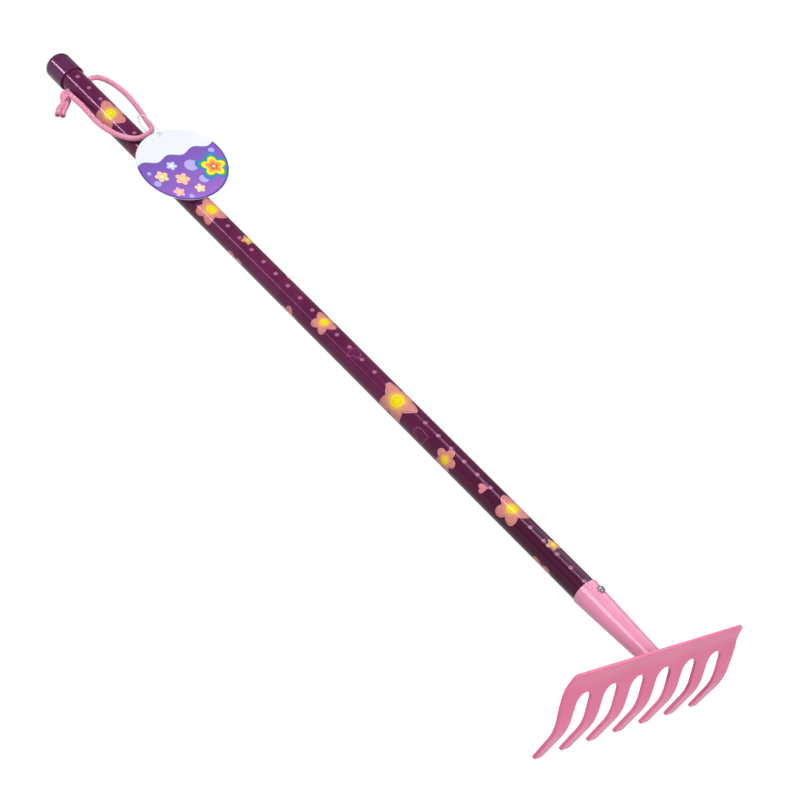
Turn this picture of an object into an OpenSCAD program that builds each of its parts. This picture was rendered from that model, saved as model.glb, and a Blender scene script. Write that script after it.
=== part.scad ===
// Child's sand rake: a pressed steel tine plate welded to a rolled socket, a film-covered
// wooden handle screwed into it, a push-on end cap, a hanging cord and a paper tag.
// The rake stands as it is put down: on the tips of its tines and on the rim of its end cap.
// +X runs from the tines to the grip, +Z is up, the floor is Z = 0.
// Each rigid piece is drawn in the handle's own frame (x along the handle, z up from its
// axis, x = 0 at the tine plate) and rake_frame() lays it down at the resting tilt.
// Left and right are as seen from the tines, looking along the handle, so left is +Y.

/* [Tine plate] */
// Width over the shoulders of the plate, where the outer tines begin
head_w = 218.5; // [160:0.5:260]
// How much narrower the top edge is than the shoulders, at each end
top_inset = 3.2; // [0:0.1:8]
// Thickness of the steel plate
plate_t = 3; // [2:0.1:4]
// Number of tines
tine_count = 7; // [5:1:9]
// Gap between two tines where the slot begins
slot_top_gap = 17.7; // [12:0.1:20]
// Gap between two tines at their tips
slot_tip_gap = 21.5; // [16:0.1:24]
// Width of an outer tine where the slot begins
outer_root_w = 17.4; // [12:0.1:24]
// Width of an outer tine at its tip
outer_tip_w = 10.3; // [8:0.1:14]
// Height of the plate above the slots, along its surface
web_h = 20.5; // [19:0.5:30]
// Length of the upper strip, from the top edge to the middle of the first bend
strip_l = 13.5; // [10:0.5:18]
// Length between the middles of the two bends
bow_l = 37.4; // [30:0.5:50]
// Length from the middle of the second bend to the tips
tip_l = 35.3; // [25:0.5:50]
// Lean of the upper strip, towards the handle going down, in degrees
strip_lean = 2; // [0:1:5]
// Lean of the middle stretch, away from the handle, in degrees
bow_lean = 15; // [5:1:20]
// Lean of the tips, back towards the handle, in degrees
tip_lean = 11; // [0:1:25]
// Radius of the first bend, at the middle of the plate
strip_bend_r = 28; // [20:1:45]
// Radius of the second bend, at the middle of the plate
tip_bend_r = 42; // [30:1:80]
// Rounding of the two corners at the ends of the plate's top edge
corner_r = 2.5; // [1:0.1:5]
// Rounding of the two corners at the end of each tine
tip_r = 2.8; // [1:0.1:4.5]

/* [Socket] */
// Length of the socket, from the tine plate to its mouth
socket_l = 82.5; // [60:0.5:110]
// Outer diameter of the socket at the plate
socket_root_d = 16.7; // [14:0.1:19]
// Sheet thickness of the socket
socket_wall = 0.9; // [0.7:0.05:1.5]
// Height of the plate's top edge above the handle's axis
axis_drop = 12.5; // [11.5:0.1:16]
// Leg of the fillet weld round the foot of the socket
weld_leg = 3; // [2:0.1:4]

/* [Socket screw] */
// Distance of the screw from the mouth of the socket
screw_from_mouth = 11.3; // [8:0.1:20]
// Diameter of the screw's pan head
screw_head_d = 6.4; // [5:0.1:8]
// Height of the pan head
screw_head_h = 2.3; // [1.8:0.1:3]
// Diameter of the shank
screw_shank_d = 3.4; // [2.5:0.1:4]
// Length of the shank under the head
screw_l = 13; // [8:0.5:16]
// Length of the pointed end of the shank
screw_point_l = 2.5; // [1:0.1:4]
// Width of the cross recess
recess_w = 0.9; // [0.5:0.1:1.2]
// Length of the cross recess
recess_l = 3.8; // [2:0.1:4.5]
// Depth of the cross recess
recess_depth = 1.1; // [0.5:0.1:1.5]

/* [Handle] */
// Diameter over the printed film
handle_d = 22; // [18:0.5:26]
// Thickness of the shrunk film
film_t = 0.3; // [0.2:0.05:0.5]
// Length of handle that shows between the socket and the end cap
shaft_l = 711; // [500:1:1000]
// How deep the turned end of the stick goes into the socket
core_tuck = 60; // [30:1:75]
// How deep the film goes into the mouth of the socket
film_tuck = 1; // [0.5:0.1:1.5]
// Gap between the stick and whatever it is pushed into
push_gap = 0.1; // [0.05:0.01:0.2]
// Chamfer at both ends of the stick
core_chamfer = 1.5; // [0.5:0.1:3]

/* [End cap] */
// Length of the end cap
cap_l = 27.2; // [20:0.1:40]
// Wall of the end cap
cap_wall = 1.7; // [1.2:0.1:2.5]
// Thickness of the cap's closed end
cap_end_t = 3; // [2:0.1:5]
// Rounding of the cap's end
cap_round_r = 6; // [2:0.1:9]
// Gap between the film and the cap
cap_gap = 0.1; // [0.05:0.01:0.2]

/* [Hanging hole] */
// Gap between the cord and the cross hole that it runs through, all round
hole_gap = 0.5; // [0.3:0.05:1.5]
// Distance of the hole from the rim of the end cap
hole_from_cap = 10.5; // [9:0.1:20]
// Turn of the hole about the handle, right-hand end up, in degrees
hole_turn = 30; // [0:1:40]

/* [Hanging cord] */
// Diameter of the cord
cord_d = 5; // [4:0.1:5.2]
// Radius of the knot's body
knot_r = 4.6; // [4:0.1:5]
// Radius of the turn of cord wound round the knot, to the middle of the cord
knot_wrap_r = 3.4; // [3:0.1:4]

/* [Tag] */
// Diameter of the round tag
tag_d = 83; // [60:1:90]
// Thickness of the laminated card
tag_t = 0.6; // [0.4:0.1:1]
// Diameter of the tag's hole
tag_hole_d = 3.6; // [3:0.1:5]
// Distance of the hole's middle from the edge of the tag
tag_hole_edge = 4.4; // [4:0.1:6]
// Thickness of the clear plastic loop that holds the tag
loop_d = 1.2; // [0.8:0.1:1.4]
// Distance of the hole in the tag from the hanging hole, along the handle
tag_from_hole = 112.8; // [105:0.1:125]
// Rise of the tag towards the grip, in degrees
tag_rise = 8.3; // [0:0.1:15]
// Lean of the tag to the left of the handle, in degrees
tag_roll = 19; // [0:1:30]
// Gap between the tag's far edge and the film that it lies on
tag_gap = 0.2; // [0.1:0.1:1]

/* [Hidden] */

$fn = 96;

// One overrun serves every cut
cut = 1;
small_fn = 48;
// Steps in each bend of the plate, and in the rounding of an edge seen from the side
bend_steps = 8;
round_steps = 8;
// Steps in each rounding of the plate's front outline
arc_steps = 12;

paint_pink = "#de82a3";
film_plum = "#5e2748";
cap_plum = "#5f3455";
cord_pink = "#e68fae";
stick_wood = "#c9a878";
screw_steel = "#9a9aa0";
tag_card = "#eceaf6";
loop_clear = "#dde4e8";

// Side profile of the plate: a centre line of three straight stretches and two bends

// Angles of the three stretches from straight down, towards the handle as positive
leans = [strip_lean, -bow_lean, tip_lean];
// Length of straight plate that each bend takes up on either side of its middle
strip_bend_leg = strip_bend_r * tan((leans[0] - leans[1]) / 2);
tip_bend_leg = tip_bend_r * tan((leans[2] - leans[1]) / 2);

// Direction down the plate, and the direction across it towards the handle
function down(lean) = [sin(lean), -cos(lean)];
function back(lean) = [cos(lean), sin(lean)];

top_point = [0, axis_drop];
strip_vertex = top_point + strip_l * down(leans[0]);
bow_vertex = strip_vertex + bow_l * down(leans[1]);
tip_point = bow_vertex + tip_l * down(leans[2]);

// Points of a bend round its own centre: side is 1 on the handle's side of the plate
function bend_points(vertex, leg, r, from_lean, to_lean, side) =
    let (turn = sign(to_lean - from_lean),
         start = vertex - leg * down(from_lean),
         centre = start + turn * r * back(from_lean))
    [for (i = [0 : bend_steps])
        let (lean = from_lean + (to_lean - from_lean) * i / bend_steps)
        centre - turn * (r - turn * side * plate_t / 2) * back(lean)];

// One face of the plate from the top edge to the tips, run past both ends by extra
function face_line(side, extra) = concat(
    [top_point + side * plate_t / 2 * back(leans[0]) - extra * down(leans[0])],
    bend_points(strip_vertex, strip_bend_leg, strip_bend_r, leans[0], leans[1], side),
    bend_points(bow_vertex, tip_bend_leg, tip_bend_r, leans[1], leans[2], side),
    [tip_point + side * plate_t / 2 * back(leans[2]) + extra * down(leans[2])]);

function reversed(list) = [for (i = [len(list) - 1 : -1 : 0]) list[i]];

// Front outline of the plate, from above: y across, z down from the top edge
slot_count = tine_count - 1;
slot_pitch = (head_w - 2 * outer_root_w - slot_top_gap) / (slot_count - 1);
slot_r = slot_top_gap / 2;
last_slot_y = slot_pitch * (slot_count - 1) / 2;
tip_edge_y = last_slot_y + slot_tip_gap / 2 + outer_tip_w;
// The slots begin where the web ends: on the middle stretch, past the first bend
slot_top_z = strip_vertex[1] - (web_h - strip_l) * cos(bow_lean);
slot_centre_z = slot_top_z - slot_r;
tip_z = tip_point[1];

// Farther forward of the handle's frame than the bow of the plate can reach
front_reach = bow_l + plate_t;

mouth_x = socket_l;
cap_rim_x = mouth_x + shaft_l;
cap_end_x = cap_rim_x + cap_l;
hole_x = cap_rim_x - hole_from_cap;
hole_r = cord_d / 2 + hole_gap;

handle_r = handle_d / 2;
core_r = handle_r - film_t;
mouth_inner_r = handle_r + push_gap;
mouth_r = mouth_inner_r + socket_wall;
root_r = socket_root_d / 2;
socket_slope = (mouth_r - root_r) / socket_l;
function socket_r(x) = root_r + socket_slope * x;

cap_inner_r = handle_r + cap_gap;
cap_r = cap_inner_r + cap_wall;
cap_round_x = cap_end_x - cap_round_r;
cap_floor_x = cap_end_x - cap_end_t;
core_end_x = cap_floor_x - push_gap;
film_end_x = core_end_x - core_chamfer;

screw_x = mouth_x - screw_from_mouth;
// The pan head sits on the socket where its cone is highest under the head
screw_seat_z = socket_r(screw_x + screw_head_d / 2);

// Resting tilt: the line that touches the lowest corner of the tips and the cap's rounding
tip_corner = [tip_point[0] + plate_t / 2 / cos(tip_lean), tip_z];
cap_corner = [cap_round_x, -(cap_r - cap_round_r)];
rest_span = cap_corner - tip_corner;
rest_tilt = atan2(rest_span[1], rest_span[0]) - asin(cap_round_r / norm(rest_span));

// Place of the handle's frame in the rake's own frame
function rest_x(p) = p[0] * cos(rest_tilt) + p[1] * sin(rest_tilt);
function rest_z(p) = -p[0] * sin(rest_tilt) + p[1] * cos(rest_tilt);
low_x = min([for (p = face_line(-1, 0)) rest_x(p)]);
high_x = rest_x([cap_round_x, cap_r - cap_round_r]) + cap_round_r;
shift_x = -(low_x + high_x) / 2;
shift_z = -rest_z(tip_corner);

module rake_frame() {
    translate([shift_x, 0, shift_z])
        rotate([0, rest_tilt, 0])
            children();
}

// Lays a shape drawn round z down along the handle
module along_handle() {
    rotate([0, 90, 0])
        children();
}

// A prism across the rake from a side view drawn in x and z
module side_prism(points, width) {
    rotate([90, 0, 0])
        translate([0, 0, -width / 2])
            linear_extrude(width)
                polygon(points);
}

// Everything on the tine side of the plate's back face, which trims what is welded to it
module plate_side_of_back() {
    back_line = face_line(1, weld_leg + root_r);
    side_prism(concat(back_line, [[-front_reach, back_line[len(back_line) - 1][1]],
                                  [-front_reach, back_line[0][1]]]),
               head_w);
}

// Points of an arc from one angle to another
function arc(centre, r, from, to) =
    [for (i = [0 : arc_steps])
        let (turn = from + (to - from) * i / arc_steps)
        centre + r * [cos(turn), sin(turn)]];

// Edges of a tine at its tip: the outer tines are cut off at the ends of the plate
function tip_right(i) =
    i == tine_count - 1 ? tip_edge_y : i * slot_pitch - last_slot_y - slot_tip_gap / 2;
function tip_left(i) =
    i == 0 ? -tip_edge_y : (i - 1) * slot_pitch - last_slot_y + slot_tip_gap / 2;
function tip_arcs(i) = concat(
    arc([tip_right(i) - tip_r, tip_z + tip_r], tip_r, 0, -90),
    arc([tip_left(i) + tip_r, tip_z + tip_r], tip_r, -90, -180));
function slot_arc(i) = arc([i * slot_pitch - last_slot_y, slot_centre_z], slot_r, 0, 180);

// Front outline of the plate: over the top from left to right, back along tips and slots
corner_y = head_w / 2 - top_inset - corner_r;
corner_z = axis_drop - corner_r;
plate_outline = concat(
    arc([-corner_y, corner_z], corner_r, 180, 90),
    arc([corner_y, corner_z], corner_r, 90, 0),
    [[head_w / 2, slot_top_z], [head_w / 2, slot_centre_z]],
    [for (i = [tine_count - 1 : -1 : 0]) each concat(tip_arcs(i), i > 0 ? slot_arc(i - 1) : [])],
    [[-head_w / 2, slot_centre_z], [-head_w / 2, slot_top_z]]);

module tine_plate() {
    color(paint_pink)
        rake_frame()
            intersection() {
                side_prism(concat(face_line(-1, cut), reversed(face_line(1, cut))), head_w + cut);
                rotate([90, 0, 90])
                    translate([0, 0, -front_reach])
                        linear_extrude(2 * front_reach)
                            polygon(plate_outline);
            }
}

// Cone along the handle from x0 to x1, as the socket's outside shrunk by inset
module socket_cone(x0, x1, inset) {
    translate([x0, 0, 0])
        along_handle()
            cylinder(h = x1 - x0, r1 = socket_r(x0) - inset, r2 = socket_r(x1) - inset);
}

// Upright hole for the screw, from a height above the handle's axis to past the socket
module screw_hole(r, from_z) {
    translate([screw_x, 0, from_z])
        cylinder(h = mouth_r + cut - from_z, r = r, $fn = small_fn);
}

module socket() {
    color(paint_pink)
        rake_frame()
            difference() {
                socket_cone(-front_reach / 2, mouth_x, 0);
                socket_cone(-front_reach, mouth_x + cut, socket_wall);
                screw_hole(screw_shank_d / 2 + push_gap, 0);
                plate_side_of_back();
            }
}

// Hollow-faced fillet between the plate's back and the foot of the socket, no higher than
// the plate
module weld_bead() {
    leg = min(weld_leg, axis_drop - root_r);
    foot_r = root_r + leg;
    bead = concat(
        [[root_r - socket_wall, -front_reach / 2], [foot_r, -front_reach / 2], [foot_r, 0]],
        [for (i = [0 : round_steps])
            let (turn = 90 * i / round_steps)
            [foot_r - leg * sin(turn), plate_t / 2 + leg * (1 - cos(turn))]],
        [[root_r - socket_wall, plate_t / 2 + leg]]);
    color(paint_pink)
        rake_frame()
            difference() {
                along_handle()
                    rotate_extrude()
                        polygon(bead);
                socket_cone(-front_reach, mouth_x, 0);
                plate_side_of_back();
            }
}

// Share of the pan head's height that its rounded edge takes
pan_edge_share = 0.7;
pan_edge = screw_head_h * pan_edge_share;

// Pan head seen from the side: x is the radius, y the height above the seat
function pan_profile() = concat(
    [[0, 0], [screw_head_d / 2, 0]],
    [for (i = [0 : round_steps])
        let (turn = 90 * i / round_steps)
        [screw_head_d / 2 - pan_edge * (1 - cos(turn)),
         screw_head_h - pan_edge * (1 - sin(turn))]],
    [[0, screw_head_h]]);

module socket_screw() {
    shank_l = screw_l - screw_point_l;
    color(screw_steel)
        rake_frame()
            translate([screw_x, 0, screw_seat_z]) {
                difference() {
                    rotate_extrude($fn = small_fn)
                        polygon(pan_profile());
                    for (turn = [0, 90])
                        rotate([0, 0, turn])
                            translate([-recess_l / 2, -recess_w / 2, screw_head_h - recess_depth])
                                cube([recess_l, recess_w, recess_depth + cut]);
                }
                translate([0, 0, -shank_l])
                    cylinder(h = shank_l, r = screw_shank_d / 2, $fn = small_fn);
                translate([0, 0, -screw_l])
                    cylinder(h = screw_point_l, r1 = 0, r2 = screw_shank_d / 2, $fn = small_fn);
            }
}

// The hole that the cord goes through, straight across the handle
module cross_hole() {
    translate([hole_x, 0, 0])
        rotate([-hole_turn, 0, 0])
            rotate([90, 0, 0])
                translate([0, 0, -handle_d])
                    cylinder(h = 2 * handle_d, r = hole_r, $fn = small_fn);
}

module handle_core() {
    tuck_x = mouth_x - core_tuck;
    taper_r = socket_r(tuck_x) - socket_wall - push_gap;
    stick = [[0, tuck_x],
             [taper_r - core_chamfer, tuck_x],
             [taper_r, tuck_x + core_chamfer],
             [core_r, mouth_x - film_tuck],
             [core_r, core_end_x - core_chamfer],
             [core_r - core_chamfer, core_end_x],
             [0, core_end_x]];
    color(stick_wood)
        rake_frame()
            difference() {
                along_handle()
                    rotate_extrude()
                        polygon(stick);
                cross_hole();
                screw_hole(screw_shank_d / 2, screw_seat_z - screw_l - cut);
            }
}

module printed_film() {
    color(film_plum)
        rake_frame()
            difference() {
                translate([mouth_x - film_tuck, 0, 0])
                    along_handle()
                        difference() {
                            cylinder(h = film_end_x - mouth_x + film_tuck, r = handle_r);
                            translate([0, 0, -cut])
                                cylinder(h = film_end_x - mouth_x + film_tuck + 2 * cut, r = core_r);
                        }
                cross_hole();
            }
}

module end_cap() {
    shell = concat(
        [[0, cap_floor_x], [cap_inner_r, cap_floor_x], [cap_inner_r, cap_rim_x],
         [cap_r, cap_rim_x]],
        [for (i = [0 : round_steps])
            let (turn = 90 * i / round_steps)
            [cap_r - cap_round_r * (1 - cos(turn)), cap_round_x + cap_round_r * sin(turn)]],
        [[0, cap_end_x]]);
    color(cap_plum)
        rake_frame()
            along_handle()
                rotate_extrude()
                    polygon(shell);
}

// Frame of the tag: its middle, x out towards the hole in it, z up from its face
tag_r = tag_d / 2;
tag_hole_x = tag_r - tag_hole_edge;
tag_x = hole_x - tag_from_hole - tag_hole_x * cos(tag_rise);
// The far edge of the leaning tag just clears the top of the film
tag_z = (handle_r + tag_gap + tag_t / 2) / (cos(tag_rise) * cos(tag_roll))
        + tag_r * sin(tag_rise);

module tag_frame() {
    rake_frame()
        translate([tag_x, 0, tag_z])
            rotate([-tag_roll, -tag_rise, 0])
                children();
}

module hang_tag() {
    color(tag_card)
        tag_frame()
            translate([0, 0, -tag_t / 2])
                difference() {
                    cylinder(h = tag_t, r = tag_r);
                    translate([tag_hole_x, 0, -cut])
                        cylinder(h = tag_t + 2 * cut, r = tag_hole_d / 2, $fn = small_fn);
                }
}

// A smooth line that passes through every point of a route
function on_curve(p0, p1, p2, p3, t) =
    p1 + (p2 - p0) * t / 2 + (2 * p0 - 5 * p1 + 4 * p2 - p3) * t * t / 2
    + (3 * (p1 - p2) + p3 - p0) * t * t * t / 2;

function open_curve(points, steps) =
    let (last = len(points) - 1)
    concat([for (i = [0 : last - 1], j = [0 : steps - 1])
                on_curve(i == 0 ? 2 * points[0] - points[1] : points[i - 1],
                         points[i], points[i + 1],
                         i == last - 1 ? 2 * points[last] - points[i] : points[i + 2],
                         j / steps)],
           [points[last]]);

function closed_curve(points, steps) =
    let (count = len(points))
    [for (i = [0 : count - 1], j = [0 : steps - 1])
        on_curve(points[(i + count - 1) % count], points[i],
                 points[(i + 1) % count], points[(i + 2) % count], j / steps)];

function unit(v) = v / norm(v);

// One ring of a tube: level is a direction that the line never runs in
function ring(middle, along, r, sides, level) =
    let (across = unit(cross(level, along)), other = cross(along, across))
    [for (k = [0 : sides - 1])
        middle + r * (cos(360 * k / sides) * across + sin(360 * k / sides) * other)];

// Side faces between each ring and the next, and from the last to the first when closed
function side_faces(count, sides, closed) =
    [for (i = [0 : count - (closed ? 1 : 2)], k = [0 : sides - 1])
        let (a = i * sides + k, b = i * sides + (k + 1) % sides,
             step = (i == count - 1 ? 1 - count : 1) * sides)
        each [[a, a + step, b + step], [a, b + step, b]]];

module open_tube(line, r, sides, level) {
    count = len(line);
    places = [for (i = [0 : count - 1])
        each ring(line[i], unit(line[min(i + 1, count - 1)] - line[max(i - 1, 0)]),
                  r, sides, level)];
    start = [for (k = [0 : sides - 1]) k];
    end = [for (k = [0 : sides - 1]) count * sides - 1 - k];
    polyhedron(places, concat([start, end], side_faces(count, sides, false)));
}

module closed_tube(line, r, sides, level) {
    count = len(line);
    places = [for (i = [0 : count - 1])
        each ring(line[i], unit(line[(i + 1) % count] - line[(i + count - 1) % count]),
                  r, sides, level)];
    polyhedron(places, side_faces(count, sides, true));
}

cord_sides = 10;
cord_steps = 2;
up = [0, 0, 1];

// Routes of the cord, in the rake's own frame: out of the knot, through the handle from its
// left to its right, round over the top of the handle and back along the left to the knot
knot_at = [374.5, 15.5, 7];
cord_route = [[376, 12, 8.5], [377, 9.5, 9.5], [377.5, 0, 15], [378, -9.5, 20.5],
              [379, -16, 22.5], [377.5, -24, 22.5], [370, -33.5, 21.5], [354, -38, 21.5],
              [332, -34, 24], [308, -25, 28.5], [287.5, -11, 36.5], [278.5, 1, 39.5],
              [279.5, 10.5, 33.5], [291, 15.5, 26.5], [307.5, 17.5, 20.5], [324, 17.5, 17],
              [339, 17, 16], [351, 17, 15.5], [363, 17, 14], [371, 14.5, 11.5]];
long_tail_route = [[373, 19.5, 6], [366.5, 24, 4.5], [359.5, 30.5, 3.5], [352, 37, 3]];
short_tail_route = [[370, 15, 6], [363.5, 19.5, 4.5], [356.5, 24.5, 3.5], [349.5, 30, 3]];

// Turn and lean of the knot's wrap, square to the tails that leave through it
knot_turn = 150;
knot_lean = 100;

module cord_along(route) {
    color(cord_pink)
        open_tube(open_curve(route, cord_steps), cord_d / 2, cord_sides, up);
}

module hang_cord() {
    cord_along(cord_route);
}

module long_tail() {
    cord_along(long_tail_route);
}

module short_tail() {
    cord_along(short_tail_route);
}

module cord_knot() {
    color(cord_pink)
        translate(knot_at)
            rotate([0, knot_lean, knot_turn]) {
                sphere(knot_r);
                rotate_extrude()
                    translate([knot_wrap_r, 0])
                        circle(cord_d / 2, $fn = small_fn);
            }
}

loop_sides = 8;
loop_steps = 2;

// Route of the clear loop from the hole in the tag, x out past its edge and z up from its
// face: through the hole, over the cord to the far bend and back under the cord
loop_route = [[0, 0], [0.9, 2.3], [3.1, 3.2], [8.9, 2.8], [15.9, 2], [22.4, 0.8], [27.9, -2.2],
              [32.4, -6.8], [33.9, -11], [30.4, -14], [22.9, -14.2], [13.9, -13.5],
              [7.4, -10.2], [3.2, -6], [0.9, -2.8]];

module tag_loop() {
    line = [for (p = closed_curve(loop_route, loop_steps)) [tag_hole_x + p[0], 0, p[1]]];
    color(loop_clear)
        tag_frame()
            closed_tube(line, loop_d / 2, loop_sides, [0, 1, 0]);
}

tine_plate();
socket();
weld_bead();
socket_screw();
handle_core();
printed_film();
end_cap();
hang_cord();
cord_knot();
long_tail();
short_tail();
tag_loop();
hang_tag();
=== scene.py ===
import math
import random

import bmesh
import bpy
from mathutils import Matrix, Vector, noise


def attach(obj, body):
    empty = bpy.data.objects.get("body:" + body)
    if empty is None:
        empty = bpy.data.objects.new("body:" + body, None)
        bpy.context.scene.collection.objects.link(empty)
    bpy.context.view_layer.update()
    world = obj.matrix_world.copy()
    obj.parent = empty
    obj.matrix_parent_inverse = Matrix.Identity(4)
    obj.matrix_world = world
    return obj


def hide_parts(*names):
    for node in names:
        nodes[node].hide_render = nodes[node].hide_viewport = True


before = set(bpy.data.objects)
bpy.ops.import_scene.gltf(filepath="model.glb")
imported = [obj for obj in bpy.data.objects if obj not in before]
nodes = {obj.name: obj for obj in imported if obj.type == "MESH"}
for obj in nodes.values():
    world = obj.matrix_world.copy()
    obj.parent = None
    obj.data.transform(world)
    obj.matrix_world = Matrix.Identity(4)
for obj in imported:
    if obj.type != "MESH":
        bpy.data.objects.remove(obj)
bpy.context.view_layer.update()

scene = bpy.context.scene
mm = 0.001          # lengths are written in millimetres and the scene is in metres
samePoint = 1e-6    # metres within which two points are one


def addObject(name, data):
    made = bpy.data.objects.new(name, data)
    scene.collection.objects.link(made)
    return made


def addMesh(name, bm, materials):
    mesh = bpy.data.meshes.new(name)
    bm.to_mesh(mesh)
    bm.free()
    for material in materials:
        mesh.materials.append(material)
    return addObject(name, mesh)


# the camera stands where the photograph was taken from, in metres and degrees
camera = {
    "place": (-1.04418, 1.59879, 1.1916),
    "turn": (54.4136, -26.3876, -131.4283),
    "lens": 119.297,
    "sensor": 36.0,
}
cameraData = bpy.data.cameras.new("camera")
cameraData.lens = camera["lens"]
cameraData.sensor_width = camera["sensor"]
scene.camera = addObject("camera", cameraData)
scene.camera.location = camera["place"]
scene.camera.rotation_euler = [math.radians(a) for a in camera["turn"]]
print("camera: set")

# where the handle's axis meets the tine plate, and how far it falls towards the grip
handle = {
    "start": (-403.468, 0, 71.514),
    "tilt": 4.13404,
    "radius": 11.0,
}
tag = {
    "middle": (633.489, 0, 18.2822),  # in the handle's frame
    "rise": 8.3,
    "lean": 19.0,
    "radius": 41.5,
    "thickness": 0.6,
    "holeAt": 37.1,
    "holeRadius": 1.8,
    "rings": 22,
    "raysAround": 144,
    "curl": 1.1,            # the two free edges stand up a little
    "edgeRounding": 0.12,
}


def frameOf(place, lean, rise):
    turn = Matrix.Rotation(math.radians(rise), 4, "Y") @ Matrix.Rotation(math.radians(lean), 4, "X")
    return Matrix.Translation(Vector(place) * mm) @ turn


handleFrame = frameOf(handle["start"], 0, handle["tilt"])
tagFrame = handleFrame @ frameOf(tag["middle"], -tag["lean"], -tag["rise"])


# a smooth line through every point of a route, in metres
def onCurve(points, closed=False, steps=12):
    points = [Vector(p) * mm for p in points]
    count = len(points)
    if not closed:
        points = [2 * points[0] - points[1]] + points + [2 * points[-1] - points[-2]]
    line = []
    for i in range(count if closed else count - 1):
        if closed:
            p0, p1, p2, p3 = [points[(i + k) % count] for k in (-1, 0, 1, 2)]
        else:
            p0, p1, p2, p3 = points[i:i + 4]
        for j in range(steps):
            t = j / steps
            line.append(p1 + (p2 - p0) * t / 2 + (2 * p0 - 5 * p1 + 4 * p2 - p3) * t * t / 2
                        + (3 * (p1 - p2) + p3 - p0) * t ** 3 / 2)
    line.append(line[0].copy() if closed else points[-2])
    return line


# the same line with its points evenly spaced, and its length
def spaced(line, step):
    along = [0.0]
    for a, b in zip(line, line[1:]):
        along.append(along[-1] + (b - a).length)
    count = max(2, round(along[-1] / step))
    points, k = [], 0
    for i in range(count + 1):
        at = along[-1] * i / count
        while k < len(line) - 2 and along[k + 1] < at:
            k += 1
        points.append(line[k].lerp(line[k + 1], (at - along[k]) / (along[k + 1] - along[k])))
    return points, along[-1]


# the line's run at each point, and a direction square to it that is carried along untwisted
def acrossLine(points, closed):
    last = len(points) - 1
    runs = []
    for i in range(last + 1):
        before = points[i - 1] if i else (points[last - 1] if closed else points[0])
        after = points[i + 1] if i < last else (points[1] if closed else points[last])
        runs.append((after - before).normalized())
    sides = [runs[0].orthogonal().normalized()]
    for a, b in zip(runs, runs[1:]):
        side = a.rotation_difference(b) @ sides[-1]
        sides.append((side - b * side.dot(b)).normalized())
    if closed:  # share out the twist that is left where the ends meet
        twist = sides[-1].angle(sides[0])
        if sides[-1].cross(sides[0]).dot(runs[0]) < 0:
            twist = -twist
        sides = [Matrix.Rotation(twist * i / last, 3, runs[i]) @ side
                 for i, side in enumerate(sides)]
    return runs, sides


# a tube laid along a line: a flat grid is rolled up round it, so its uv runs along and around
def layTube(bm, points, length, around, radiusAt, closed=False):
    runs, sides = acrossLine(points, closed)
    last = len(points) - 1
    uv = bm.loops.layers.uv.verify()
    made = bmesh.ops.create_grid(bm, x_segments=last, y_segments=around, size=0.5,
                                 calc_uvs=True)["verts"]
    for face in {f for v in made for f in v.link_faces}:
        for loop in face.loops:
            loop[uv].uv = ((loop.vert.co.x + 0.5) * length / mm, loop.vert.co.y + 0.5)
    for v in made:
        i, share = round((v.co.x + 0.5) * last), v.co.y + 0.5
        turn = math.tau * share
        out = sides[i] * math.cos(turn) + runs[i].cross(sides[i]) * math.sin(turn)
        v.co = points[i] + out * radiusAt(length * i / last, share)
    bmesh.ops.remove_doubles(bm, verts=made, dist=samePoint)


def addPiece(name, bm, body, materials, smooth=True):
    bmesh.ops.recalc_face_normals(bm, faces=bm.faces)
    piece = addMesh(name, bm, materials)
    for face in piece.data.polygons:
        face.use_smooth = smooth
    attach(piece, body)
    return piece


def toLinear(hexColour):
    parts = [int(hexColour[i:i + 2], 16) / 255 for i in (1, 3, 5)]
    return (*[c / 12.92 if c <= 0.04045 else ((c + 0.055) / 1.055) ** 2.4 for c in parts], 1)


# adds one shader node, whose kind may also say what a maths or mix node does. Its values are a
# list of its first inputs, or go by the number or name of an input, or the name of a setting. A
# socket is linked, and so is a node, by the output that it has in use. Anything else is set, with
# colours in hex
def addNode(tree, kind, values=(), stops=()):
    kind, _, mode = kind.partition(" ")
    node = tree.nodes.new(kind if kind.startswith("NodeGroup") else "ShaderNode" + kind)
    if mode:
        setattr(node, "data_type" if kind == "Mix" else "operation", mode)
    if isinstance(values, list):
        values = enumerate(values)
    for key, value in dict(values).items():
        if isinstance(value, bpy.types.Node):
            value = next(socket for socket in value.outputs if socket.enabled)
        if isinstance(value, bpy.types.NodeSocket):
            tree.links.new(value, node.inputs[key])
        elif isinstance(key, str) and hasattr(node, key):
            setattr(node, key, value)
        else:
            node.inputs[key].default_value = toLinear(value) if isinstance(value, str) else value
    for i, (at, colour) in enumerate(stops):
        ramp = node.color_ramp.elements
        stop = ramp[i] if i < len(ramp) else ramp.new(at)
        stop.position, stop.color = at, toLinear(colour)
    return node


def newMaterial(name):
    material = bpy.data.materials.new(name)
    material.use_nodes = True
    material.node_tree.nodes.clear()
    return material, material.node_tree


# a shader whose colour, roughness and relief follow one noise, as far as they are asked for. If
# no place is given, the noise runs through the piece in metres
def noisyShader(tree, cloud, look, stops=(), dull=(), relief=()):
    if "Vector" not in cloud:
        cloud = {**cloud, "Vector": addNode(tree, "TexCoord").outputs["Object"]}
    noisy = addNode(tree, "TexNoise", cloud)
    look = dict(look)
    if stops:
        look["Base Color"] = addNode(tree, "ValToRGB", [noisy], stops)
    if dull:
        look["Roughness"] = addNode(tree, "MapRange", [noisy, 0, 1, *dull])
    if relief:
        look["Normal"] = addNode(tree, "Bump", {"Strength": relief[0], "Distance": relief[1],
                                                "Height": noisy})
    return addNode(tree, "BsdfPrincipled", look)


def noisyMaterial(name, cloud, look, **follow):
    material, tree = newMaterial(name)
    addNode(tree, "OutputMaterial", [noisyShader(tree, cloud, look, **follow)])
    return material


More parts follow.
